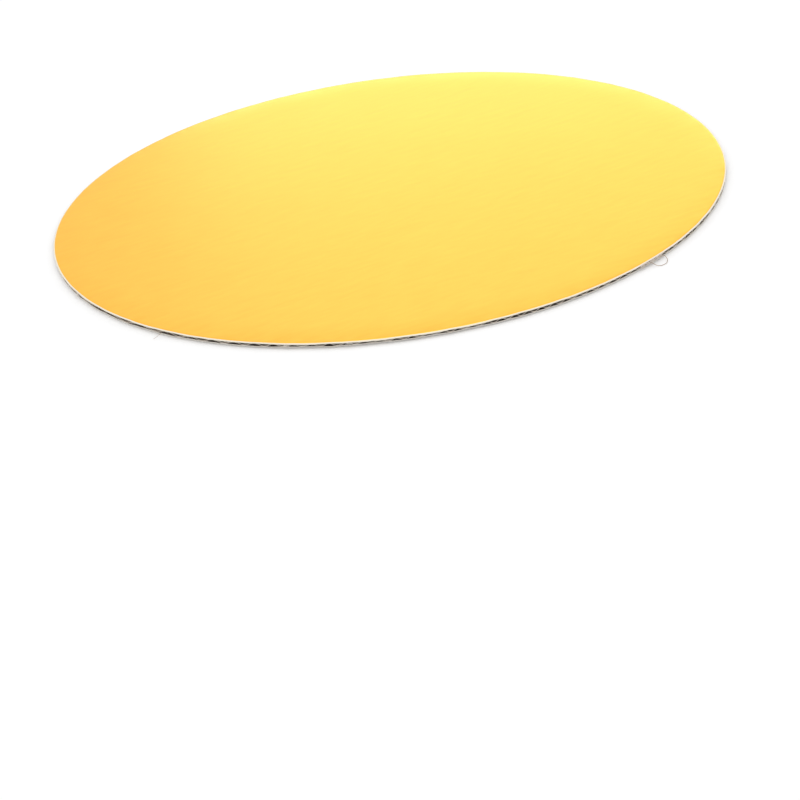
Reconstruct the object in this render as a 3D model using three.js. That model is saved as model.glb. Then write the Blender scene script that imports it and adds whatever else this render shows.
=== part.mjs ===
// A round gold cake board, 12 inches across, die-cut from single-wall corrugated board.
// Four layers are glued into one stiff sheet: a gold foil film on a white paper liner,
// a fluted medium, and a second white liner underneath.
// Units are millimetres. +Z is up, the flutes run along Y, and the origin is the centre
// of the underside.

import * as THREE from "three";

// Overall size.
const BOARD_DIAMETER = 305;

// The four papers, from the bottom up.
const BOTTOM_LINER_THICKNESS = 0.3;
const MEDIUM_THICKNESS = 0.22;
const TOP_LINER_THICKNESS = 0.3;
const FOIL_THICKNESS = 0.05;

// The fluting: 50 flutes in 300 mm. Its height is measured over the paper, from one glue
// line to the other, and each tip is pressed flat against its liner along the glue line.
const FLUTE_PITCH = 6;
const FLUTE_HEIGHT = 2.35;
const GLUE_LINE_WIDTH = 0.66;

// The die pinches the rim as it cuts: the foil and its liner roll down over a narrow strip,
// and the bottom liner curls up over a wider one.
const ROLL_WIDTH = 0.9;
const ROLL_DROP = 0.3;
const CURL_WIDTH = 4;
const CURL_RISE = 1.05;

// The medium shrinks back a little from the cut. Its flutes start to crush just inside the
// curl, and at the cut they come away from both liners.
const MEDIUM_SETBACK = 0.15;
const CRUSH_LEAD = 0.3;
const CRUSH_CLEARANCE = 0.05;

// How finely the curves are drawn.
const ROUND_SEGMENTS = 144;
const PINCH_SEGMENTS = 2;
const FLANK_SEGMENTS = 3;

const boardRadius = BOARD_DIAMETER / 2;
const mediumRadius = boardRadius - MEDIUM_SETBACK;
const mediumBottom = BOTTOM_LINER_THICKNESS;
const mediumTop = mediumBottom + FLUTE_HEIGHT;
const linerTop = mediumTop + TOP_LINER_THICKNESS;
const foilTop = linerTop + FOIL_THICKNESS;

const goldFilm = new THREE.MeshStandardMaterial({ color: 0xffbe4c, roughness: 0.3, metalness: 1 });
const whitePaper = new THREE.MeshStandardMaterial({ color: 0xf3ece2, roughness: 0.9, metalness: 0 });
const flutingPaper = new THREE.MeshStandardMaterial({ color: 0xc9b8a6, roughness: 0.95, metalness: 0 });
const backPaper = new THREE.MeshStandardMaterial({ color: 0xece6dd, roughness: 0.9, metalness: 0 });

function mesh(name, geometry, material) {
  const made = new THREE.Mesh(geometry, material);
  made.name = name;
  return made;
}

// Half-section of a liner's face at height z: flat from the axis, then bending up or down
// by the given move over a strip along the rim.
function pinchedFace(z, width, move) {
  const bendStart = boardRadius - width;
  const face = new THREE.Path();
  face.moveTo(0, z);
  face.lineTo(bendStart, z);
  face.quadraticCurveTo(bendStart + width / 2, z, boardRadius, z + move);
  return face.getPoints(PINCH_SEGMENTS);
}

// A layer between two heights, revolved about the board's axis.
function pinchedDisc(low, high, width, move) {
  const section = [...pinchedFace(low, width, move), ...pinchedFace(high, width, move).reverse()];
  return new THREE.LatheGeometry(section, ROUND_SEGMENTS).rotateX(Math.PI / 2);
}

// One flute's middle line over a pitch, as points [share of the pitch, height from -1 to 1]:
// a cosine whose tips are cut flat to the width of the glue line.
function fluteMiddleLine() {
  const glueShare = GLUE_LINE_WIDTH / FLUTE_PITCH / 2;
  const tipHeight = Math.cos(2 * Math.PI * glueShare);
  const flankShare = 0.5 - 2 * glueShare;
  const down = [];
  for (let i = 0; i <= FLANK_SEGMENTS; i++) {
    const share = glueShare + (flankShare * i) / FLANK_SEGMENTS;
    down.push([share, Math.cos(2 * Math.PI * share) / tipHeight]);
  }
  const up = down.map(([share, height]) => [share + 0.5, -height]);
  return [...down, ...up];
}

// The point where a line that runs along x crosses the given x.
function crossing(line, x) {
  const next = line.findIndex((point) => point.x >= x);
  const [a, b] = [line[next - 1], line[next]];
  return a.clone().lerp(b, (x - a.x) / (b.x - a.x));
}

// The medium's middle line across the whole board, cut off at both ends of its span.
function mediumMiddleLine(halfSpan) {
  const swing = (FLUTE_HEIGHT - MEDIUM_THICKNESS) / 2;
  const middle = mediumBottom + FLUTE_HEIGHT / 2;
  const flutes = Math.ceil(halfSpan / FLUTE_PITCH) + 1;
  const line = [];
  for (let flute = -flutes; flute < flutes; flute++) {
    for (const [share, height] of fluteMiddleLine()) {
      line.push(new THREE.Vector2((flute + share) * FLUTE_PITCH, middle + swing * height));
    }
  }
  const inside = line.filter((point) => Math.abs(point.x) < halfSpan);
  return [crossing(line, -halfSpan), ...inside, crossing(line, halfSpan)];
}

// The line moved sideways by a distance, its corners mitred so that the paper keeps its thickness.
function offsetLine(line, distance) {
  return line.map((point, i) => {
    const before = point.clone().sub(line[Math.max(i - 1, 0)]);
    const after = line[Math.min(i + 1, line.length - 1)].clone().sub(point);
    if (i === 0) before.copy(after);
    if (i === line.length - 1) after.copy(before);
    const turn = (after.angle() - before.angle()) / 2;
    const halfTurn = Math.atan2(Math.sin(turn), Math.cos(turn));
    const along = before.normalize().rotateAround(new THREE.Vector2(), halfTurn);
    const reach = distance / Math.cos(halfTurn);
    return new THREE.Vector2(point.x - along.y * reach, point.y + along.x * reach);
  });
}

// The wavy sheet, extruded along the flutes with stations that are still evenly spaced.
function wavySheet(stretches) {
  const middleLine = mediumMiddleLine(mediumRadius - MEDIUM_THICKNESS);
  const section = new THREE.Shape([
    ...offsetLine(middleLine, MEDIUM_THICKNESS / 2).reverse(),
    ...offsetLine(middleLine, -MEDIUM_THICKNESS / 2),
  ]);
  return new THREE.ExtrudeGeometry(section, { depth: stretches, steps: stretches, bevelEnabled: false });
}

// The fluted medium: each flute is trimmed to the round cut, and crushed towards it.
function flutedMedium() {
  const stretches = 3;
  const crushStart = boardRadius - CURL_WIDTH - CRUSH_LEAD;

  // Along a flute at x: its two cut ends, and between them the places where the crushing starts.
  const stations = (x) => {
    const end = Math.sqrt(mediumRadius ** 2 - x ** 2);
    const start = Math.sqrt(Math.max(crushStart ** 2 - x ** 2, (end / stretches) ** 2));
    return [end, start, -start, -end];
  };

  const crushed = (z, radius) => {
    const share = THREE.MathUtils.clamp((radius - crushStart) / (mediumRadius - crushStart), 0, 1);
    const low = mediumBottom + share * (CURL_RISE + CRUSH_CLEARANCE);
    const high = mediumTop - share * (ROLL_DROP + CRUSH_CLEARANCE);
    return THREE.MathUtils.mapLinear(z, mediumBottom, mediumTop, low, high);
  };

  const sheet = wavySheet(stretches);
  const points = sheet.getAttribute("position");
  for (let i = 0; i < points.count; i++) {
    const x = points.getX(i);
    const y = stations(x)[Math.round(points.getZ(i))];
    points.setXYZ(i, x, y, crushed(points.getY(i), Math.hypot(x, y)));
  }
  return sheet;
}

const board = new THREE.Group();
board.add(
  mesh("bottom_liner", pinchedDisc(0, mediumBottom, CURL_WIDTH, CURL_RISE), backPaper),
  mesh("fluted_medium", flutedMedium(), flutingPaper),
  mesh("top_liner", pinchedDisc(mediumTop, linerTop, ROLL_WIDTH, -ROLL_DROP), whitePaper),
  mesh("gold_foil_face", pinchedDisc(linerTop, foilTop, ROLL_WIDTH, -ROLL_DROP), goldFilm),
);

export default board;
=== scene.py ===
import math

import bmesh
import bpy
from mathutils import Matrix, Vector


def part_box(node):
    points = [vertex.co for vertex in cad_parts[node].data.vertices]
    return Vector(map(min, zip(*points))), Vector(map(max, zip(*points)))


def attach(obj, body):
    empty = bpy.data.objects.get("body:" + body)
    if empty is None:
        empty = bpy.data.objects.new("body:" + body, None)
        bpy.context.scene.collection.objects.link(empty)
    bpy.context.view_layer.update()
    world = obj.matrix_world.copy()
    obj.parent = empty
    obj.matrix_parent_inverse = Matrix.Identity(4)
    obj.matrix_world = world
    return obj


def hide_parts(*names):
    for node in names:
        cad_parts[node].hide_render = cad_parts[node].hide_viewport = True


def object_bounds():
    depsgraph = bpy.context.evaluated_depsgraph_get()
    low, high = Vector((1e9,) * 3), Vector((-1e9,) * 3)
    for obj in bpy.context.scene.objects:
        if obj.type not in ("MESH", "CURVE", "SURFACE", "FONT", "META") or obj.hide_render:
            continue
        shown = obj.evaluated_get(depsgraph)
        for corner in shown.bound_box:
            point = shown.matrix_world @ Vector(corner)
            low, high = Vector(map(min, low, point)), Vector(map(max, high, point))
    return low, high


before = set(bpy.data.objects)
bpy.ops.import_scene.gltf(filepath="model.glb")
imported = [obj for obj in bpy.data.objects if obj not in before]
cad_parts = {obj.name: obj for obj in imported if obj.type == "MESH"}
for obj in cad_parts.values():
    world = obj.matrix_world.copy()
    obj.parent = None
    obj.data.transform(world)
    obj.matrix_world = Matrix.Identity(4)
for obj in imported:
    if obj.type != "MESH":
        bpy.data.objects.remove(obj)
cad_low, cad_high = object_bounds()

MM = 0.001

# The layers' heights, read from the frame.
BOARD_RADIUS = cad_high.x
BOTTOM_LINER_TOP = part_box("fluted_medium")[0].z
TOP_LINER_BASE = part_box("fluted_medium")[1].z
FOIL_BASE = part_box("top_liner")[1].z
FOIL_TOP = cad_high.z
MEDIUM_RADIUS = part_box("fluted_medium")[1].y

# The paper and its fluting. The wave is cut off flat at 1 / GLUED_TIP of its height, where its
# tips are glued.
FLUTE_PITCH = 6 * MM
MEDIUM_THICKNESS = 0.22 * MM
GLUED_TIP = 1.15

# The cut. The rim is pinched from both faces: the foil rolls down over a narrow strip and
# the lower liner curls up over a wider one. The top also droops a little towards the rim,
# where the flutes start to give way. The pinch is uneven along the rim, and a stretch of the
# front is pressed harder. The film ends short of the cut, so that the liner's edge shows.
ROLL_WIDTH = 0.9 * MM
ROLL_DROP = 0.25 * MM
DROOP_WIDTH = 13 * MM
DROOP = 0.32 * MM
FILM_SETBACK = 0.26 * MM
CURL_WIDTH = 4 * MM
CURL_RISE = 0.75 * MM
PRESSED_ANGLE = math.radians(-116)
PRESSED_SPAN = math.radians(20)
PRESSED_MORE = 0.2
UNEVEN_SIZE = 12 * MM
UNEVEN_SHARE = 0.5

# The rule tears each paper a little as it cuts: how deep, how long the teeth are, how far in
# from the cut the tear starts, and over how much of a liner's edge it is at its full depth. The
# medium's fibres stand loose over its frayed width.
FILM_TEAR = 0.12 * MM
TOP_LINER_TEAR = 0.1 * MM
BOTTOM_LINER_TEAR = 0.15 * MM
MEDIUM_TEAR = 0.3 * MM
TOOTH_SIZE = 1.2 * MM
TEAR_WIDTH = 0.5 * MM
FULL_TEAR_WIDTH = 0.2 * MM
FRAYED_WIDTH = 0.4 * MM

# The fuzz on the cut: how many fibres each layer's edge has all round, and how far up the top
# liner's edge a torn tuft reaches.
TOP_LINER_FIBRES = 5000
BOTTOM_LINER_FIBRES = 3000
MEDIUM_FIBRES = 900
TUFT_RISE = 0.3 * MM

# How finely the sheets are divided: a liner into rings and segments, the fluted medium into
# steps across the flutes and stations along them.
LINER_RINGS = 22
LINER_SEGMENTS = 1201
FLUTE_STEPS = 714
FLUTE_STATIONS = 24

# Where the photograph shows paper torn out of the cut: from one angle about the board's axis
# to the other, in degrees, and how many fibres hang there.
TORN_PLACES = {"left": (179.5, 180.5, 36), "front_left": (226.5, 227.5, 36),
               "front": (236.5, 237.5, 36), "right": (287.5, 293, 400)}

# Paper threads pulled out of the cut: the place on the rim in degrees, and in millimetres the
# thickness and the knots, as distances along the rim, outwards and above the floor.
THREADS = {
    "curled_thread": (289.7, 0.25, [
        (0.0, -0.3, 1.8), (0.2, 1.4, 1.4), (0.9, 3.7, 0.5), (4.0, 5.0, 0.25), (6.8, 4.0, 0.4),
        (8.4, 2.2, 0.9), (8.6, 0.7, 1.4), (6.2, -0.3, 1.8)]),
    "hanging_thread": (204.1, 0.15, [
        (0.0, -0.3, 1.8), (0.4, 1.8, 1.7), (0.3, 3.9, 1.2), (-0.3, 5.4, 0.7)]),
}

# The photograph's camera: it looks down at the board from in front of the flutes' ends. Its
# distance is in metres and its lens in millimetres.
CAMERA_AZIMUTH = math.radians(-24)
CAMERA_ELEVATION = math.radians(22.363)
CAMERA_DISTANCE = 1.45
CAMERA_ROLL = math.radians(-7.783)
CAMERA_YAW = math.radians(-0.2020)
CAMERA_PITCH = math.radians(-3.5645)
CAMERA_LENS = 143.94

# The studio: how much of the white surroundings lights the object, and how far the floor is
# brought up to white where it is seen.
WORLD_FILL = 0.8
FLOOR_LIFT = 0.15

# The white softboxes, all turned to the board's middle: place, width and height in metres and
# power in watts. They are large and weak, because the film mirrors them on top of the white
# surroundings, and they stand all round, so that it has a gradient from every side.
SOFTBOXES = {
    "overhead_softbox": ((0.1, 0.0, 1.15), 1.1, 1.0, 2.4),
    "back_softbox": ((0.775, 1.188, 0.36), 0.85, 0.25, 1.3),
    "front_softbox": ((-0.6, -1.6, 0.5), 1.2, 0.6, 1.3),
    "left_softbox": ((-1.45, 0.55, 0.62), 1.1, 0.6, 1.2),
    "right_softbox": ((1.5, -0.62, 0.5), 1.15, 0.5, 1.1),
}

# The Wave texture's bands are this far apart at a scale of 1.
BAND_SPACING = 2 * math.pi / 20

# The liners' inner sides, which face into the flutes: brown-grey recycled pulp, darkened further
# with painted shade for the shadow inside the flutes.
SHADED_INNER_PULP = "#7a6550"


def linear(code):
    """The linear colour of an sRGB hex value."""
    parts = [int(code[i:i + 2], 16) / 255 for i in (1, 3, 5)]
    return [p / 12.92 if p <= 0.04045 else ((p + 0.055) / 1.055) ** 2.4 for p in parts] + [1]


def add_node(tree, kind, settings=None, inputs=None):
    """Adds a node. Each input is a plain value, or the output socket that feeds it."""
    node = tree.nodes.new(kind)
    for name, value in (settings or {}).items():
        setattr(node, name, value)
    for key, value in (inputs or {}).items():
        if isinstance(value, bpy.types.NodeSocket):
            tree.links.new(value, node.inputs[key])
        else:
            node.inputs[key].default_value = value
    return node


# Camera, light and floor.

def add_camera():
    """The photograph's camera, with the shift of its frame made by turning it."""
    data = bpy.data.cameras.new("camera")
    data.sensor_width = 36
    data.lens = CAMERA_LENS
    camera = bpy.data.objects.new("camera", data)
    flat = math.cos(CAMERA_ELEVATION)
    back = Vector((math.sin(CAMERA_AZIMUTH) * flat, -math.cos(CAMERA_AZIMUTH) * flat,
                   math.sin(CAMERA_ELEVATION)))
    turn = Matrix.Rotation(CAMERA_ROLL, 3, "Z")
    turn = turn @ Matrix.Rotation(CAMERA_YAW, 3, "Y")
    turn = turn @ Matrix.Rotation(CAMERA_PITCH, 3, "X")
    facing = back.to_track_quat("Z", "Y").to_matrix() @ turn
    camera.matrix_world = Matrix.Translation(back * CAMERA_DISTANCE) @ facing.to_4x4()
    bpy.context.collection.objects.link(camera)
    bpy.context.scene.camera = camera


def add_softbox(name, place, width, height, power):
    """A white softbox that lights the board's middle and isn't seen itself."""
    data = bpy.data.lights.new(name, "AREA")
    data.shape = "RECTANGLE"
    data.size = width
    data.size_y = height
    data.energy = power
    lamp = bpy.data.objects.new(name, data)
    lamp.visible_camera = False
    facing = Vector(place).to_track_quat("Z", "Y").to_matrix()
    lamp.matrix_world = Matrix.Translation(place) @ facing.to_4x4()
    bpy.context.collection.objects.link(lamp)


def white_where_seen(tree):
    """1 for the rays that see the background, straight or in a gloss, and 0 for the rest."""
    path = add_node(tree, "ShaderNodeLightPath")
    seen = add_node(tree, "ShaderNodeMath", {"operation": "MAXIMUM"},
                    {0: path.outputs["Is Camera Ray"], 1: path.outputs["Is Glossy Ray"]})
    either = add_node(tree, "ShaderNodeMath", {"operation": "MAXIMUM"},
                      {0: seen.outputs[0], 1: path.outputs["Is Transmission Ray"]})
    return either.outputs[0]


def add_world():
    """White surroundings: at full white where they are seen, and weaker as a light."""
    world = bpy.data.worlds.new("studio")
    world.use_nodes = True
    tree = world.node_tree
    tree.nodes.clear()
    strength = add_node(tree, "ShaderNodeMapRange", inputs={
        "Value": white_where_seen(tree), "To Min": WORLD_FILL, "To Max": 1})
    light = add_node(tree, "ShaderNodeBackground", inputs={
        "Color": linear("#ffffff"), "Strength": strength.outputs[0]})
    add_node(tree, "ShaderNodeOutputWorld", inputs={"Surface": light.outputs[0]})
    bpy.context.scene.world = world


def floor_material():
    """Seamless white paper sweep: matt, and brought up to white where it is seen."""
    made = bpy.data.materials.new("white_sweep_paper")
    made.use_nodes = True
    tree = made.node_tree
    tree.nodes.clear()
    matt = add_node(tree, "ShaderNodeBsdfDiffuse", inputs={"Color": linear("#f4f4f4")})
    glow = add_node(tree, "ShaderNodeMath", {"operation": "MULTIPLY"},
                    {0: white_where_seen(tree), 1: FLOOR_LIFT})
    lift = add_node(tree, "ShaderNodeEmission", inputs={
        "Color": linear("#ffffff"), "Strength": glow.outputs[0]})
    both = add_node(tree, "ShaderNodeAddShader", inputs={0: matt.outputs[0], 1: lift.outputs[0]})
    add_node(tree, "ShaderNodeOutputMaterial", inputs={"Surface": both.outputs[0]})
    return made


def add_floor():
    """A floor far wider than any view of it."""
    mesh = bpy.data.meshes.new("floor")
    far = 30
    mesh.from_pydata([(-far, -far, 0), (far, -far, 0), (far, far, 0), (-far, far, 0)], [], [(0, 1, 2, 3)])
    mesh.materials.append(floor_material())
    floor = bpy.data.objects.new("floor", mesh)
    bpy.context.collection.objects.link(floor)


# Materials.

def new_material(name):
    """A material with its Principled shader, its tree and the object's own coordinates."""
    made = bpy.data.materials.new(name)
    made.use_nodes = True
    tree = made.node_tree
    tree.nodes.clear()
    shader = add_node(tree, "ShaderNodeBsdfPrincipled")
    add_node(tree, "ShaderNodeOutputMaterial", inputs={"Surface": shader.outputs[0]})
    place = add_node(tree, "ShaderNodeTexCoord").outputs["Object"]
    return made, tree, shader, place


def gold_film():
    """Gold-lacquered metallised film, calendered as it is glued down: a satin mirror whose
    fine streaks run along the machine, and that the fluting just shows through. The streaks are
    drawn as coarse as they need to be to show from the camera's distance."""
    made, tree, shader, place = new_material("gold_lacquered_metallised_film")
    streak_length, streak_width = 16 * MM, 3.5 * MM
    along = add_node(tree, "ShaderNodeMapping", inputs={
        "Vector": place, "Scale": (1 / streak_length, 1 / streak_width, 1 / streak_width)})
    streaks = add_node(tree, "ShaderNodeTexNoise", inputs={
        "Vector": along.outputs[0], "Scale": 1, "Detail": 5, "Roughness": 0.75})
    cloud_size = 45 * MM
    clouds = add_node(tree, "ShaderNodeTexNoise", inputs={
        "Vector": place, "Scale": 1 / cloud_size, "Detail": 2})
    tone = add_node(tree, "ShaderNodeMix", {"data_type": "RGBA"}, {
        "Factor": streaks.outputs[0], 6: linear("#ffb033"), 7: linear("#ffca50")})
    rough = add_node(tree, "ShaderNodeMapRange", inputs={
        "Value": streaks.outputs[0], "From Min": 0.3, "From Max": 0.7, "To Min": 0.3, "To Max": 0.37})
    rough_clouds = add_node(tree, "ShaderNodeMath", {"operation": "MULTIPLY_ADD"}, {
        0: clouds.outputs[0], 1: 0.04, 2: rough.outputs[0]})
    flutes = add_node(tree, "ShaderNodeTexWave", {"wave_type": "BANDS", "bands_direction": "X"}, {
        "Vector": place, "Scale": BAND_SPACING / FLUTE_PITCH, "Distortion": 0})
    waves = add_node(tree, "ShaderNodeBump", inputs={
        "Height": flutes.outputs["Fac"], "Distance": 0.002 * MM, "Strength": 1})
    grain = add_node(tree, "ShaderNodeBump", inputs={
        "Height": streaks.outputs[0], "Distance": 0.03 * MM, "Strength": 1, "Normal": waves.outputs[0]})
    for name, value in {"Metallic": 1, "Specular Tint": linear("#ffffcc"),
                        "Coat Weight": 0.3, "Coat Roughness": 0.25}.items():
        shader.inputs[name].default_value = value
    tree.links.new(tone.outputs[2], shader.inputs["Base Color"])
    tree.links.new(rough_clouds.outputs[0], shader.inputs["Roughness"])
    tree.links.new(grain.outputs[0], shader.inputs["Normal"])
    return made


def paper(name, light, dark, washboard=0.0, inner=0, frayed_and_lit=None):
    """Uncoated liner or fluting paper: matt and felted, cloudy where the pulp lay thicker, and
    faintly ribbed where flutes are glued to it, with painted shade in the hollows between the ribs.
    Its fibres are drawn a few tenths of a millimetre across, several times as wide as real ones, so
    that they show. A liner's unbleached inner side, its pulp tone darkened with painted shade for the
    shadow inside the flutes, is the one that faces up for inner 1 and down for -1. The medium's cut
    edge has the colour frayed_and_lit: paler because its fibres stand loose there, and lighter still
    as painted light on the cut ends in the dark flute openings."""
    made, tree, shader, place = new_material(name)
    fibre_length, fibre_width, cloud_size = 1.6 * MM, 0.25 * MM, 9 * MM
    along = add_node(tree, "ShaderNodeMapping", inputs={
        "Vector": place, "Scale": (1 / fibre_length, 1 / fibre_width, 1 / fibre_width)})
    fibres = add_node(tree, "ShaderNodeTexNoise", inputs={
        "Vector": along.outputs[0], "Scale": 1, "Detail": 4, "Roughness": 0.65, "Distortion": 0.8})
    clouds = add_node(tree, "ShaderNodeTexNoise", inputs={
        "Vector": place, "Scale": 1 / cloud_size, "Detail": 3})
    mottle = add_node(tree, "ShaderNodeMath", {"operation": "MULTIPLY_ADD"}, {
        0: clouds.outputs[0], 1: 0.35, 2: fibres.outputs[0]})
    flutes = add_node(tree, "ShaderNodeTexWave", {"wave_type": "BANDS", "bands_direction": "X"}, {
        "Vector": place, "Scale": BAND_SPACING / FLUTE_PITCH, "Distortion": 0.4,
        "Detail Scale": 40})
    # Painted shade on the ribs: the tone is darker in their hollows and lighter on their tops, the
    # more the deeper they are.
    ribbed = add_node(tree, "ShaderNodeMath", {"operation": "MULTIPLY_ADD"}, {
        0: flutes.outputs["Fac"], 1: 4 * washboard / MM, 2: mottle.outputs[0]})
    spread = add_node(tree, "ShaderNodeMapRange", inputs={
        "Value": ribbed.outputs[0], "From Min": 0.35, "From Max": 1.1})
    tone = add_node(tree, "ShaderNodeMix", {"data_type": "RGBA"}, {
        "Factor": spread.outputs[0], 6: linear(dark), 7: linear(light)})
    ribs = add_node(tree, "ShaderNodeBump", inputs={
        "Height": flutes.outputs["Fac"], "Distance": washboard, "Strength": 1})
    felt = add_node(tree, "ShaderNodeBump", inputs={
        "Height": fibres.outputs[0], "Distance": 0.05 * MM, "Strength": 0.6, "Normal": ribs.outputs[0]})
    for key, value in {"Roughness": 0.9, "Specular IOR Level": 0.3, "Sheen Weight": 0.1}.items():
        shader.inputs[key].default_value = value
    # Partly painted light: the cut edge is paler as its loose fibres are, and lighter still as painted
    # light on the cut ends in the dark flute openings.
    if frayed_and_lit:
        flat = add_node(tree, "ShaderNodeVectorMath", {"operation": "MULTIPLY"}, {0: place, 1: (1, 1, 0)})
        reach = add_node(tree, "ShaderNodeVectorMath", {"operation": "LENGTH"}, {0: flat.outputs[0]})
        at_cut = add_node(tree, "ShaderNodeMapRange", inputs={
            "Value": reach.outputs["Value"],
            "From Min": MEDIUM_RADIUS - FRAYED_WIDTH, "From Max": MEDIUM_RADIUS - FRAYED_WIDTH / 2})
        tone = add_node(tree, "ShaderNodeMix", {"data_type": "RGBA"}, {
            "Factor": at_cut.outputs[0], 6: tone.outputs[2], 7: linear(frayed_and_lit)})

    # The inner side, its pulp darkened with painted shade for the shadow inside the flutes, is what
    # faces steeply up or down, so the cut edge keeps the outer tone.
    normal = add_node(tree, "ShaderNodeNewGeometry").outputs["Normal"]
    facing = add_node(tree, "ShaderNodeSeparateXYZ", inputs={0: normal})
    inside = add_node(tree, "ShaderNodeMapRange", inputs={
        "Value": facing.outputs["Z"], "From Min": 0.6 * inner, "From Max": 0.8 * inner,
        "To Max": abs(inner)})
    pulp = add_node(tree, "ShaderNodeMix", {"data_type": "RGBA"}, {
        "Factor": inside.outputs[0], 6: tone.outputs[2], 7: linear(SHADED_INNER_PULP)})
    tree.links.new(pulp.outputs[2], shader.inputs["Base Color"])
    tree.links.new(felt.outputs[0], shader.inputs["Normal"])
    return made


def loose_fibre():
    """Bleached wood fibre standing out of the cut: thin, pale and slightly glossy."""
    made, tree, shader, place = new_material("bleached_wood_fibre")
    tuft_size = 4 * MM
    tufts = add_node(tree, "ShaderNodeTexNoise", inputs={
        "Vector": place, "Scale": 1 / tuft_size, "Detail": 2})
    tone = add_node(tree, "ShaderNodeMix", {"data_type": "RGBA"}, {
        "Factor": tufts.outputs[0], 6: linear("#e9ddd0"), 7: linear("#fdf9f3")})
    shader.inputs["Roughness"].default_value = 0.6
    tree.links.new(tone.outputs[2], shader.inputs["Base Color"])
    return made


# Geometry Nodes trees.

SOCKET_OF = {float: "NodeSocketFloat", int: "NodeSocketInt", bpy.types.Material: "NodeSocketMaterial"}


def new_tree(name, inputs, output="Geometry"):
    """A tree with named inputs. Gives the tree and the sockets that its inputs come from."""
    tree = bpy.data.node_groups.new(name, "GeometryNodeTree")
    kind = "NodeSocketGeometry" if output == "Geometry" else "NodeSocketFloat"
    tree.interface.new_socket(output, in_out="OUTPUT", socket_type=kind)
    for label, kind in inputs.items():
        tree.interface.new_socket(label, in_out="INPUT", socket_type=SOCKET_OF[kind])
    return tree, add_node(tree, "NodeGroupInput").outputs


def plain_piece(source, name):
    """Turns an object with its modifiers into a plain mesh, closed and smooth but for its corners."""
    plain = bpy.data.meshes.new_from_object(source.evaluated_get(bpy.context.evaluated_depsgraph_get()))
    bpy.data.objects.remove(source)
    plain.name = name
    shape = bmesh.new()
    shape.from_mesh(plain)
    bmesh.ops.recalc_face_normals(shape, faces=shape.faces)
    shape.to_mesh(plain)
    shape.free()
    plain.shade_smooth()
    plain.set_sharp_from_angle(angle=math.radians(50))
    piece = bpy.data.objects.new(name, plain)
    bpy.context.collection.objects.link(piece)
    return piece


def made_by(tree, name, values, thickness=0.0, offset=0.0, even=True):
    """Runs a tree on an empty mesh, and gives a sheet its thickness."""
    blank = bpy.data.objects.new(name + "_blank", bpy.data.meshes.new(name + "_blank"))
    bpy.context.collection.objects.link(blank)
    modifier = blank.modifiers.new("tree", "NODES")
    modifier.node_group = tree
    for item in tree.interface.items_tree:
        if item.in_out == "INPUT":
            modifier[item.identifier] = values[item.name]
    if thickness:
        wall = blank.modifiers.new("wall", "SOLIDIFY")
        wall.thickness = thickness
        wall.offset = offset
        wall.use_even_offset = even
    return plain_piece(blank, name)


def rim_pinch():
    """How far a layer moves at the pinched rim: Amount at the cut, fading inwards over Width,
    less a wider Droop. It varies along the rim and is greater where the cut was pressed harder."""
    tree, given = new_tree("rim_pinch", {
        "Radius": float, "Width": float, "Amount": float, "Droop": float}, "Move")
    place = add_node(tree, "GeometryNodeInputPosition").outputs[0]
    flat = add_node(tree, "ShaderNodeVectorMath", {"operation": "MULTIPLY"}, {0: place, 1: (1, 1, 0)})
    reach = add_node(tree, "ShaderNodeVectorMath", {"operation": "LENGTH"}, {0: flat.outputs[0]})
    moves = []
    for width, amount in (given["Width"], given["Amount"]), (DROOP_WIDTH, given["Droop"]):
        inner = add_node(tree, "ShaderNodeMath", {"operation": "SUBTRACT"}, {0: given["Radius"], 1: width})
        share = add_node(tree, "ShaderNodeMapRange", inputs={
            "Value": reach.outputs["Value"], "From Min": inner.outputs[0], "From Max": given["Radius"]})
        curve = add_node(tree, "ShaderNodeMath", {"operation": "POWER"}, {0: share.outputs[0], 1: 2.0})
        move = add_node(tree, "ShaderNodeMath", {"operation": "MULTIPLY"}, {0: curve.outputs[0], 1: amount})
        moves.append(move.outputs[0])
    both = add_node(tree, "ShaderNodeMath", {"operation": "SUBTRACT"}, {0: moves[0], 1: moves[1]})

    parts = add_node(tree, "ShaderNodeSeparateXYZ", inputs={0: place})
    angle = add_node(tree, "ShaderNodeMath", {"operation": "ARCTAN2"}, {
        0: parts.outputs["Y"], 1: parts.outputs["X"]})
    away = add_node(tree, "ShaderNodeMath", {"operation": "SUBTRACT"}, {
        0: angle.outputs[0], 1: PRESSED_ANGLE})
    far = add_node(tree, "ShaderNodeMath", {"operation": "ABSOLUTE"}, {0: away.outputs[0]})
    pressed = add_node(tree, "ShaderNodeMapRange", {"interpolation_type": "SMOOTHSTEP"}, {
        "Value": far.outputs[0], "From Min": 0.6 * PRESSED_SPAN, "From Max": PRESSED_SPAN,
        "To Min": 1 + PRESSED_MORE, "To Max": 1})
    uneven = add_node(tree, "ShaderNodeTexNoise", inputs={
        "Vector": flat.outputs[0], "Scale": 1 / UNEVEN_SIZE, "Detail": 2})
    spread = add_node(tree, "ShaderNodeMapRange", {"clamp": False}, {
        "Value": uneven.outputs[0], "From Min": 0.3, "From Max": 0.7,
        "To Min": 1 - UNEVEN_SHARE / 2, "To Max": 1 + UNEVEN_SHARE / 2})
    varied = add_node(tree, "ShaderNodeMath", {"operation": "MULTIPLY"}, {
        0: pressed.outputs[0], 1: spread.outputs[0]})
    whole = add_node(tree, "ShaderNodeMath", {"operation": "MULTIPLY"}, {
        0: varied.outputs[0], 1: both.outputs[0]})
    add_node(tree, "NodeGroupOutput", inputs={0: whole.outputs[0]})
    return tree


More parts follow.
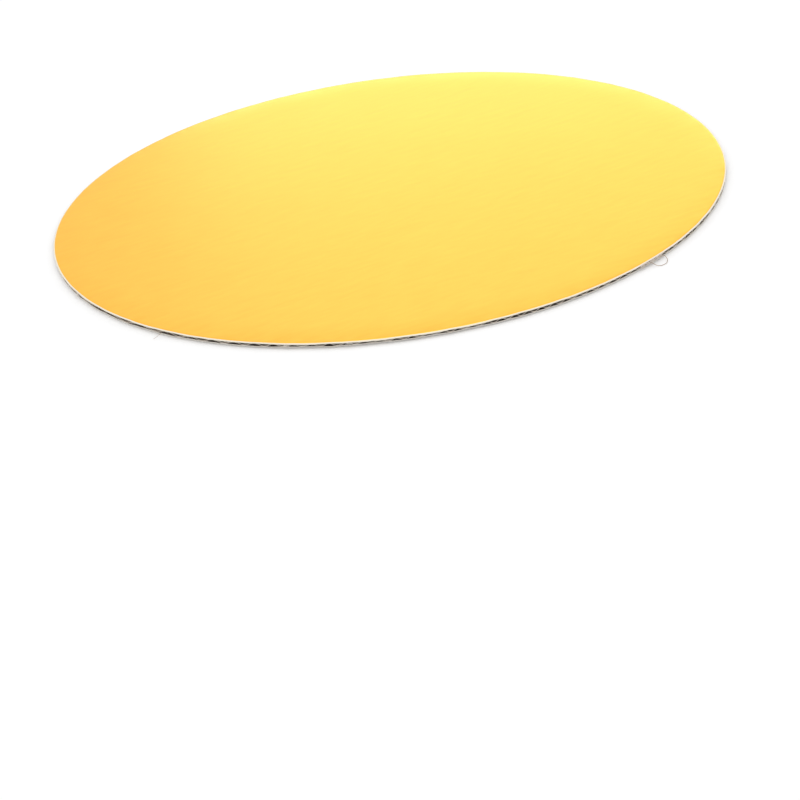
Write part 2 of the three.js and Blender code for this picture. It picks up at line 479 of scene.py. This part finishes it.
def torn_back(tree, place, start, full, depth):
    """How far a place near the cut moves inwards, as ragged as the rule tears paper: not at all
    up to the radius start, and by up to depth past the radius full."""
    lengths = add_node(tree, "ShaderNodeVectorMath", {"operation": "LENGTH"}, {0: place})
    at_cut = add_node(tree, "ShaderNodeMapRange", inputs={
        "Value": lengths.outputs["Value"], "From Min": start, "From Max": full})
    teeth = add_node(tree, "ShaderNodeTexNoise", inputs={
        "Vector": place, "Scale": 1 / TOOTH_SIZE, "Detail": 3})
    tooth = add_node(tree, "ShaderNodeMath", {"operation": "MULTIPLY"}, {0: teeth.outputs[0], 1: depth})
    bite = add_node(tree, "ShaderNodeMath", {"operation": "MULTIPLY"}, {
        0: tooth.outputs[0], 1: at_cut.outputs[0]})
    share = add_node(tree, "ShaderNodeMath", {"operation": "DIVIDE"}, {
        0: bite.outputs[0], 1: -BOARD_RADIUS})
    flat = add_node(tree, "ShaderNodeVectorMath", {"operation": "MULTIPLY"}, {0: place, 1: (1, 1, 0)})
    back = add_node(tree, "ShaderNodeVectorMath", {"operation": "SCALE"}, {
        0: flat.outputs[0], "Scale": share.outputs[0]})
    return back.outputs[0]


def liner_tree(pinch):
    """A round sheet at one height, its rings closer together towards the rim. The rim moves
    by the pinch, up for a positive Pinch, and its cut is a little ragged."""
    tree, given = new_tree("liner", {
        "Radius": float, "Height": float, "Pinch Width": float, "Pinch": float, "Droop": float,
        "Lift": float, "Ragged": float, "Rings": int, "Segments": int, "Material": bpy.types.Material})
    grid = add_node(tree, "GeometryNodeMeshGrid", inputs={
        "Size X": 1.0, "Size Y": 1.0, "Vertices X": given["Rings"], "Vertices Y": given["Segments"]})
    on_grid = add_node(tree, "GeometryNodeInputPosition").outputs[0]
    spot = add_node(tree, "ShaderNodeSeparateXYZ", inputs={0: on_grid})
    inward = add_node(tree, "ShaderNodeMath", {"operation": "SUBTRACT"}, {0: 0.5, 1: spot.outputs["X"]})
    spacing = add_node(tree, "ShaderNodeMath", {"operation": "POWER"}, {0: inward.outputs[0], 1: 3.0})
    reach = add_node(tree, "ShaderNodeMath", {"operation": "MULTIPLY_ADD"}, {
        0: spacing.outputs[0], 1: -1, 2: 1})
    radius = add_node(tree, "ShaderNodeMath", {"operation": "MULTIPLY"}, {
        0: reach.outputs[0], 1: given["Radius"]})
    angle = add_node(tree, "ShaderNodeMath", {"operation": "MULTIPLY"}, {
        0: spot.outputs["Y"], 1: 2 * math.pi})
    arm = add_node(tree, "ShaderNodeCombineXYZ", inputs={"X": radius.outputs[0], "Z": given["Height"]})
    round_place = add_node(tree, "ShaderNodeVectorRotate", {"rotation_type": "Z_AXIS"}, {
        "Vector": arm.outputs[0], "Angle": angle.outputs[0]})
    disc = add_node(tree, "GeometryNodeSetPosition", inputs={
        "Geometry": grid.outputs["Mesh"], "Position": round_place.outputs[0]})
    # The seam, where the grid's two ends meet, and the middle are closed up.
    closed = add_node(tree, "GeometryNodeMergeByDistance", inputs={
        "Geometry": disc.outputs[0], "Distance": 0.002 * MM})

    move = add_node(tree, "GeometryNodeGroup", {"node_tree": pinch}, {
        "Radius": given["Radius"], "Width": given["Pinch Width"], "Amount": given["Pinch"],
        "Droop": given["Droop"]})
    rise = add_node(tree, "ShaderNodeCombineXYZ", inputs={"Z": move.outputs[0]})
    pinched = add_node(tree, "GeometryNodeSetPosition", inputs={
        "Geometry": closed.outputs[0], "Offset": rise.outputs[0]})

    place = add_node(tree, "GeometryNodeInputPosition").outputs[0]
    tear = torn_back(tree, place, BOARD_RADIUS - TEAR_WIDTH, BOARD_RADIUS - FULL_TEAR_WIDTH,
                     given["Ragged"])
    ragged = add_node(tree, "GeometryNodeSetPosition", inputs={
        "Geometry": pinched.outputs[0], "Offset": tear})

    facing = add_node(tree, "GeometryNodeInputNormal").outputs[0]
    lift = add_node(tree, "ShaderNodeVectorMath", {"operation": "SCALE"}, {
        0: facing, "Scale": given["Lift"]})
    lifted = add_node(tree, "GeometryNodeSetPosition", inputs={
        "Geometry": ragged.outputs[0], "Offset": lift.outputs[0]})
    whole = add_node(tree, "GeometryNodeRealizeInstances", inputs={0: lifted.outputs[0]})
    dressed = add_node(tree, "GeometryNodeSetMaterial", inputs={
        "Geometry": whole.outputs[0], "Material": given["Material"]})
    add_node(tree, "NodeGroupOutput", inputs={0: dressed.outputs[0]})
    return tree


def fluting_tree(pinch):
    """The wavy sheet's middle surface: flutes along Y, trimmed to a circle, their tips
    flattened where they are glued, and squeezed between the liners at the pinched rim."""
    tree, given = new_tree("fluting", {
        "Radius": float, "Pitch": float, "Low": float, "High": float, "Paper": float, "Ragged": float,
        "Roll": float, "Roll Width": float, "Droop": float, "Curl": float, "Curl Width": float,
        "Steps": int, "Stations": int, "Material": bpy.types.Material})
    grid = add_node(tree, "GeometryNodeMeshGrid", inputs={
        "Size X": 2.0, "Size Y": 2.0, "Vertices X": given["Steps"], "Vertices Y": given["Stations"]})
    on_grid = add_node(tree, "GeometryNodeInputPosition").outputs[0]
    spot = add_node(tree, "ShaderNodeSeparateXYZ", inputs={0: on_grid})

    # The last steps stop just inside the circle, so that the sheet has some length there.
    end = add_node(tree, "ShaderNodeMath", {"operation": "SUBTRACT"}, {0: given["Radius"], 1: 0.1 * MM})
    across = add_node(tree, "ShaderNodeMath", {"operation": "MULTIPLY"}, {
        0: spot.outputs["X"], 1: end.outputs[0]})

    # Half the chord at this place, and how far along it the station lies, closest at the cut.
    square = add_node(tree, "ShaderNodeMath", {"operation": "POWER"}, {0: given["Radius"], 1: 2.0})
    offset = add_node(tree, "ShaderNodeMath", {"operation": "MULTIPLY"}, {
        0: across.outputs[0], 1: across.outputs[0]})
    rest = add_node(tree, "ShaderNodeMath", {"operation": "SUBTRACT"}, {
        0: square.outputs[0], 1: offset.outputs[0]})
    chord = add_node(tree, "ShaderNodeMath", {"operation": "SQRT"}, {0: rest.outputs[0]})
    side = add_node(tree, "ShaderNodeMath", {"operation": "SIGN"}, {0: spot.outputs["Y"]})
    out = add_node(tree, "ShaderNodeMath", {"operation": "ABSOLUTE"}, {0: spot.outputs["Y"]})
    inward = add_node(tree, "ShaderNodeMath", {"operation": "SUBTRACT"}, {0: 1, 1: out.outputs[0]})
    spacing = add_node(tree, "ShaderNodeMath", {"operation": "POWER"}, {0: inward.outputs[0], 1: 2.6})
    share = add_node(tree, "ShaderNodeMath", {"operation": "SUBTRACT"}, {0: 1, 1: spacing.outputs[0]})
    half = add_node(tree, "ShaderNodeMath", {"operation": "MULTIPLY"}, {
        0: share.outputs[0], 1: side.outputs[0]})
    along = add_node(tree, "ShaderNodeMath", {"operation": "MULTIPLY"}, {
        0: half.outputs[0], 1: chord.outputs[0]})
    flat = add_node(tree, "ShaderNodeCombineXYZ", inputs={"X": across.outputs[0], "Y": along.outputs[0]})
    disc = add_node(tree, "GeometryNodeSetPosition", inputs={
        "Geometry": grid.outputs["Mesh"], "Position": flat.outputs[0]})

    # The wave at this place, between the two liners.
    place = add_node(tree, "GeometryNodeInputPosition").outputs[0]
    parts = add_node(tree, "ShaderNodeSeparateXYZ", inputs={0: place})
    turn = add_node(tree, "ShaderNodeMath", {"operation": "DIVIDE"}, {0: 2 * math.pi, 1: given["Pitch"]})
    phase = add_node(tree, "ShaderNodeMath", {"operation": "MULTIPLY"}, {
        0: parts.outputs["X"], 1: turn.outputs[0]})
    wave = add_node(tree, "ShaderNodeMath", {"operation": "COSINE"}, {0: phase.outputs[0]})
    height = add_node(tree, "ShaderNodeMapRange", inputs={
        "Value": wave.outputs[0], "From Min": -1 / GLUED_TIP, "From Max": 1 / GLUED_TIP})
    roll = add_node(tree, "GeometryNodeGroup", {"node_tree": pinch}, {
        "Radius": given["Radius"], "Width": given["Roll Width"], "Amount": given["Roll"],
        "Droop": given["Droop"]})
    curl = add_node(tree, "GeometryNodeGroup", {"node_tree": pinch}, {
        "Radius": given["Radius"], "Width": given["Curl Width"], "Amount": given["Curl"], "Droop": 0.0})
    wall = add_node(tree, "ShaderNodeMath", {"operation": "MULTIPLY"}, {0: given["Paper"], 1: 0.5})
    bottom = add_node(tree, "ShaderNodeMath", {"operation": "ADD"}, {0: given["Low"], 1: wall.outputs[0]})
    top = add_node(tree, "ShaderNodeMath", {"operation": "SUBTRACT"}, {
        0: given["High"], 1: wall.outputs[0]})
    low = add_node(tree, "ShaderNodeMath", {"operation": "ADD"}, {0: bottom.outputs[0], 1: curl.outputs[0]})
    high = add_node(tree, "ShaderNodeMath", {"operation": "ADD"}, {0: top.outputs[0], 1: roll.outputs[0]})
    level = add_node(tree, "ShaderNodeMix", {"data_type": "FLOAT"}, {
        0: height.outputs[0], 2: low.outputs[0], 3: high.outputs[0]})

    # The cut through it, torn a little by the rule.
    start = add_node(tree, "ShaderNodeMath", {"operation": "SUBTRACT"}, {0: given["Radius"], 1: TEAR_WIDTH})
    tear = torn_back(tree, place, start.outputs[0], given["Radius"], given["Ragged"])
    up = add_node(tree, "ShaderNodeCombineXYZ", inputs={"Z": level.outputs[0]})
    shift = add_node(tree, "ShaderNodeVectorMath", {"operation": "ADD"}, {0: tear, 1: up.outputs[0]})
    waved = add_node(tree, "GeometryNodeSetPosition", inputs={
        "Geometry": disc.outputs[0], "Offset": shift.outputs[0]})
    whole = add_node(tree, "GeometryNodeRealizeInstances", inputs={0: waved.outputs[0]})
    dressed = add_node(tree, "GeometryNodeSetMaterial", inputs={
        "Geometry": whole.outputs[0], "Material": given["Material"]})
    add_node(tree, "NodeGroupOutput", inputs={0: dressed.outputs[0]})
    return tree


def fibre_tree(pinch):
    """Loose fibres scattered along a stretch of a layer's cut, each a bent hair that points
    outwards. Low and High are the layer's heights before the rim is pinched, Thickness is a
    hair's radius as a share of its length, and Splay is the most that it turns aside."""
    tree, given = new_tree("cut_fibres", {
        "Radius": float, "Depth": float, "Low": float, "High": float, "Pinch": float, "Droop": float,
        "From Angle": float, "To Angle": float,
        "Shortest": float, "Longest": float, "Thickness": float, "Splay": float,
        "Count": int, "Seed": int, "Material": bpy.types.Material})
    angle = add_node(tree, "FunctionNodeRandomValue", {"data_type": "FLOAT"}, {
        "Min": given["From Angle"], "Max": given["To Angle"], "Seed": given["Seed"]})
    seeds = [add_node(tree, "FunctionNodeIntegerMath", {"operation": "ADD"}, {0: given["Seed"], 1: step})
             for step in (1, 2, 3, 4)]
    inner = add_node(tree, "ShaderNodeMath", {"operation": "SUBTRACT"}, {
        0: given["Radius"], 1: given["Depth"]})
    reach = add_node(tree, "FunctionNodeRandomValue", {"data_type": "FLOAT"}, {
        "Min": inner.outputs[0], "Max": given["Radius"], "Seed": seeds[0].outputs[0]})
    level = add_node(tree, "FunctionNodeRandomValue", {"data_type": "FLOAT"}, {
        "Min": given["Low"], "Max": given["High"], "Seed": seeds[1].outputs[0]})
    arm = add_node(tree, "ShaderNodeCombineXYZ", inputs={"X": reach.outputs[1], "Z": level.outputs[1]})
    place = add_node(tree, "ShaderNodeVectorRotate", {"rotation_type": "Z_AXIS"}, {
        "Vector": arm.outputs[0], "Angle": angle.outputs[1]})
    level_roots = add_node(tree, "GeometryNodePoints", inputs={
        "Count": given["Count"], "Position": place.outputs[0]})
    move = add_node(tree, "GeometryNodeGroup", {"node_tree": pinch}, {
        "Radius": given["Radius"], "Width": CURL_WIDTH, "Amount": given["Pinch"], "Droop": given["Droop"]})
    rise = add_node(tree, "ShaderNodeCombineXYZ", inputs={"Z": move.outputs[0]})
    roots = add_node(tree, "GeometryNodeSetPosition", inputs={
        "Geometry": level_roots.outputs[0], "Offset": rise.outputs[0]})

    hair = add_node(tree, "GeometryNodeCurveQuadraticBezier", inputs={
        "Resolution": 3, "Start": (0, 0, 0), "Middle": (0.6, 0, 0.3), "End": (1, 0, 0.1)})
    section = add_node(tree, "GeometryNodeCurvePrimitiveCircle", inputs={
        "Resolution": 3, "Radius": given["Thickness"]})
    strand = add_node(tree, "GeometryNodeCurveToMesh", inputs={
        "Curve": hair.outputs[0], "Profile Curve": section.outputs[0], "Fill Caps": True})

    length = add_node(tree, "FunctionNodeRandomValue", {"data_type": "FLOAT"}, {
        "Min": given["Shortest"], "Max": given["Longest"], "Seed": seeds[2].outputs[0]})
    least = add_node(tree, "ShaderNodeMath", {"operation": "MULTIPLY"}, {0: given["Splay"], 1: -1})
    low_turn = add_node(tree, "ShaderNodeCombineXYZ", inputs={"Y": least.outputs[0], "Z": least.outputs[0]})
    high_turn = add_node(tree, "ShaderNodeCombineXYZ", inputs={
        "X": 2 * math.pi, "Y": given["Splay"], "Z": given["Splay"]})
    splay = add_node(tree, "FunctionNodeRandomValue", {"data_type": "FLOAT_VECTOR"}, {
        0: low_turn.outputs[0], 1: high_turn.outputs[0], "Seed": seeds[3].outputs[0]})
    outward = add_node(tree, "ShaderNodeCombineXYZ", inputs={"Z": angle.outputs[1]})
    turn = add_node(tree, "ShaderNodeVectorMath", {"operation": "ADD"}, {
        0: splay.outputs[0], 1: outward.outputs[0]})
    hairs = add_node(tree, "GeometryNodeInstanceOnPoints", inputs={
        "Points": roots.outputs[0], "Instance": strand.outputs[0],
        "Rotation": turn.outputs[0], "Scale": length.outputs[1]})
    whole = add_node(tree, "GeometryNodeRealizeInstances", inputs={0: hairs.outputs[0]})
    dressed = add_node(tree, "GeometryNodeSetMaterial", inputs={
        "Geometry": whole.outputs[0], "Material": given["Material"]})
    add_node(tree, "NodeGroupOutput", inputs={0: dressed.outputs[0]})
    return tree


# Pieces.

def finish_piece(piece, slot, *nodes):
    """Puts a piece on the board's one body and hides the nodes that it replaces. The slot is not used."""
    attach(piece, "root")
    if nodes:
        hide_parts(*nodes)


def add_liners(pinch, white, back, gold):
    """The two liners and the film: round sheets of even thickness. The film lies on the top
    liner's rolled face, so it is that liner's sheet lifted by the liner's thickness."""
    shared = {"Radius": BOARD_RADIUS, "Rings": LINER_RINGS, "Segments": LINER_SEGMENTS,
              "Lift": 0.0, "Droop": 0.0}
    rolled = {**shared, "Height": TOP_LINER_BASE, "Pinch Width": ROLL_WIDTH, "Pinch": -ROLL_DROP,
              "Droop": DROOP}
    tree = liner_tree(pinch)
    liner_thickness = FOIL_BASE - TOP_LINER_BASE
    film = made_by(tree, "foil_face_sheet", {
        **rolled, "Radius": BOARD_RADIUS - FILM_SETBACK, "Pinch Width": ROLL_WIDTH - FILM_SETBACK,
        "Lift": liner_thickness, "Ragged": FILM_TEAR, "Material": gold}, FOIL_TOP - FOIL_BASE, 1.0)
    finish_piece(film, "gold_foil", "gold_foil_face")
    top = made_by(tree, "top_liner_sheet", {
        **rolled, "Ragged": TOP_LINER_TEAR, "Material": white}, liner_thickness, 1.0)
    finish_piece(top, "white_paper", "top_liner")
    bottom = made_by(tree, "bottom_liner_sheet", {
        **shared, "Height": 0.0, "Pinch Width": CURL_WIDTH, "Pinch": CURL_RISE,
        "Ragged": BOTTOM_LINER_TEAR, "Material": back}, BOTTOM_LINER_TOP, 1.0)
    finish_piece(bottom, "back_paper", "bottom_liner")


def add_fluting(pinch, material):
    """The fluted medium: one wavy sheet of even thickness between the liners."""
    piece = made_by(fluting_tree(pinch), "fluted_sheet", {
        "Radius": MEDIUM_RADIUS, "Pitch": FLUTE_PITCH, "Low": BOTTOM_LINER_TOP, "High": TOP_LINER_BASE,
        "Paper": MEDIUM_THICKNESS, "Ragged": MEDIUM_TEAR, "Roll": -ROLL_DROP, "Roll Width": ROLL_WIDTH,
        "Droop": DROOP, "Curl": CURL_RISE, "Curl Width": CURL_WIDTH, "Steps": FLUTE_STEPS,
        "Stations": FLUTE_STATIONS, "Material": material}, MEDIUM_THICKNESS, even=False)
    finish_piece(piece, "fluting_paper", "fluted_medium")


def add_fibres(pinch, material):
    """The fuzz on the cut: a felt on each liner's edge, looser hairs on the medium's, and tufts
    where paper is torn out."""
    tree = fibre_tree(pinch)
    cut = {"Radius": BOARD_RADIUS, "Depth": 0.15 * MM, "From Angle": -math.pi, "To Angle": math.pi,
           "Pinch": 0.0, "Droop": 0.0, "Material": material}
    felt = {**cut, "Shortest": 0.12 * MM, "Longest": 0.4 * MM, "Thickness": 0.1, "Splay": 1.0}
    loose = {**cut, "Shortest": 0.3 * MM, "Longest": 0.9 * MM, "Thickness": 0.04, "Splay": 1.2}
    low_edge = BOTTOM_LINER_TOP + CURL_RISE
    high_edge = TOP_LINER_BASE - ROLL_DROP - DROOP
    growths = {
        "top_liner_felt": {**felt, "Low": TOP_LINER_BASE, "High": FOIL_BASE, "Pinch": -ROLL_DROP,
                           "Droop": DROOP, "Count": TOP_LINER_FIBRES, "Seed": 11},
        "bottom_liner_felt": {**felt, "Low": 0.0, "High": BOTTOM_LINER_TOP, "Pinch": CURL_RISE,
                              "Count": BOTTOM_LINER_FIBRES, "Seed": 12},
        "fluting_hairs": {**loose, "Depth": FRAYED_WIDTH, "Low": low_edge, "High": high_edge,
                          "Count": MEDIUM_FIBRES, "Seed": 13}}
    for seed, (place, (start, end, count)) in enumerate(TORN_PLACES.items(), 21):
        growths["torn_tuft_" + place] = {
            **loose, "From Angle": math.radians(start), "To Angle": math.radians(end), "Low": low_edge,
            "High": high_edge + TUFT_RISE, "Longest": 1.2 * MM, "Thickness": 0.05, "Splay": 0.9,
            "Count": count, "Seed": seed}
    for name, values in growths.items():
        finish_piece(made_by(tree, name, values), "white_paper")


def add_threads(material):
    """Threads of paper pulled out of the cut, each a smooth tube through its knots."""
    for name, (degrees, thickness, knots) in THREADS.items():
        line = bpy.data.curves.new(name, "CURVE")
        line.dimensions = "3D"
        line.resolution_u = 8
        line.bevel_depth = thickness * MM / 2
        line.bevel_resolution = 2
        line.use_fill_caps = True
        line.materials.append(material)
        spline = line.splines.new("BEZIER")
        spline.bezier_points.add(len(knots) - 1)
        turn = Matrix.Rotation(math.radians(degrees), 3, "Z")
        for knot, (along, outwards, height) in zip(spline.bezier_points, knots):
            knot.co = turn @ Vector((BOARD_RADIUS + outwards * MM, along * MM, height * MM))
            knot.handle_left_type = knot.handle_right_type = "AUTO"
        drawn = bpy.data.objects.new(name + "_line", line)
        bpy.context.collection.objects.link(drawn)
        finish_piece(plain_piece(drawn, name), "white_paper")


# The papers: a creamy white liner that shows as a fine line under the film, grey-brown fluting
# that is paler where it is cut, partly from its loose fibres and partly as painted light, a cooler
# white liner for the back, its ribs with painted shade, and the threads, which are fluting pulled
# thin and so paler than the sheet.
gold = gold_film()
white = paper("bleached_kraft_liner", "#fff9e6", "#f2e9d6", inner=-1)
fluting = paper("semi_chemical_fluting", "#b8a594", "#8f7c6b", frayed_and_lit="#ddd0c1")
back = paper("bleached_back_liner", "#f0ebe2", "#d9d1c6", washboard=0.03 * MM, inner=1)
thread = paper("pulled_fluting_thread", "#c9b5a1", "#9d8874")
fibre = loose_fibre()
add_camera()
add_world()
for name, (place, width, height, power) in SOFTBOXES.items():
    add_softbox(name, place, width, height, power)
add_floor()
pinch = rim_pinch()
add_liners(pinch, white, back, gold)
add_fluting(pinch, fluting)
add_fibres(pinch, fibre)
add_threads(thread)

bpy.context.scene.view_settings.view_transform = "Standard"
